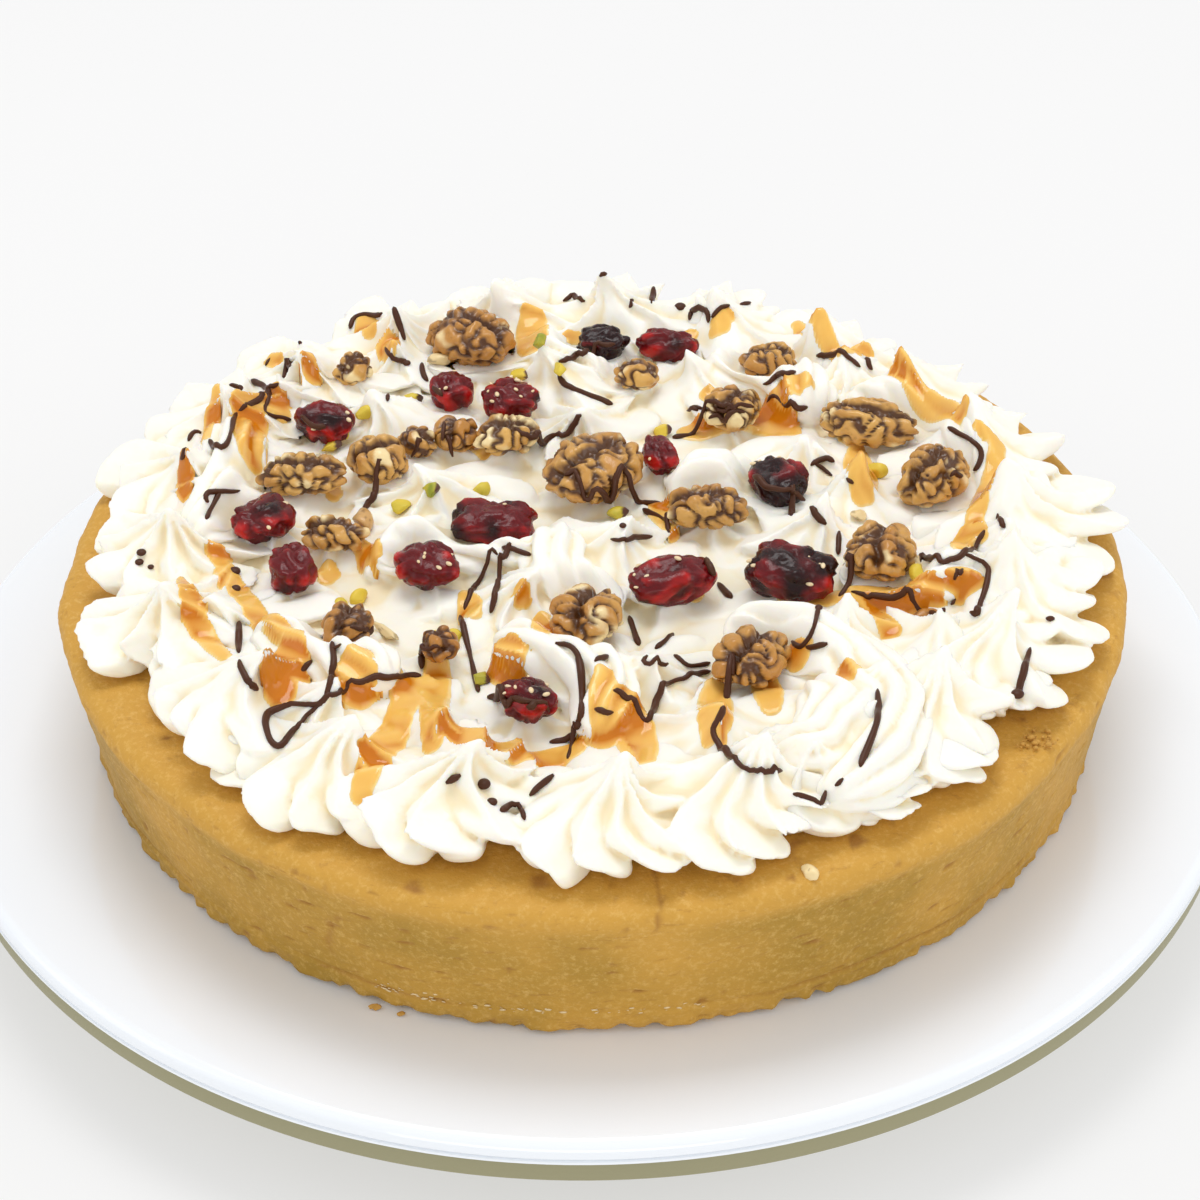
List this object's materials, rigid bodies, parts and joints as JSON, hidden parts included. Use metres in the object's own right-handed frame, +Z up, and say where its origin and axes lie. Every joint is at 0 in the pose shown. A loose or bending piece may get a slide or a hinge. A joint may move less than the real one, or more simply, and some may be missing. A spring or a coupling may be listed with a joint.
{
  "type": "sour cream torte on cake stand",
  "caption": "Round shortcrust torte piped with swirled cream, topped with walnuts, dried cranberries, caramel and chocolate, standing on a low round cake stand.",
  "frame": {"origin": "the stand's axis, on the surface that the stand rests on", "axes": "+Z up, -Y towards the front that the picture shows, +X to the right seen from the front"},
  "size_m": [0.327, 0.327, 0.0924],
  "materials": {
    "plate_white": "gloss",
    "stand_grey": "satin",
    "pastry": "matte",
    "cream": "satin",
    "walnut": "satin",
    "cranberry": "gloss",
    "pistachio": "satin",
    "caramel": "gloss",
    "chocolate": "satin"
  },
  "bodies": {
    "root": {"stand_plate": "plate_white", "stand_rim": "stand_grey", "stand_foot": "stand_grey", "crust": "pastry", "piped_cream": "cream", "walnut_half_middle": "walnut", "walnut_half_back": "walnut", "walnut_chip_back_left": "walnut", "walnut_pair_dark": "walnut", "walnut_pair_light": "walnut", "walnut_half_left": "walnut", "walnut_round_left": "walnut", "walnut_corner_left": "walnut", "walnut_wedge_left": "walnut", "walnut_round_back": "walnut", "walnut_half_glazed": "walnut", "walnut_chunk_right": "walnut", "walnut_half_right": "walnut", "walnut_half_upright": "walnut", "walnut_three_lobes": "walnut", "walnut_half_front_right": "walnut", "walnut_half_pale": "walnut", "walnut_half_front": "walnut", "walnut_dark_front_left": "walnut", "walnut_dark_nib": "walnut", "cranberry_black_back": "cranberry", "cranberry_long_back": "cranberry", "cranberry_bright": "cranberry", "cranberry_sugared": "cranberry", "cranberry_left_back": "cranberry", "cranberry_left_round": "cranberry", "cranberry_left_low": "cranberry", "cranberry_square": "cranberry", "cranberry_round_middle": "cranberry", "cranberry_behind_half": "cranberry", "cranberry_dark_right": "cranberry", "cranberry_long_middle": "cranberry", "cranberry_large_dark": "cranberry", "cranberry_front": "cranberry"}
  },
  "joints": []
}
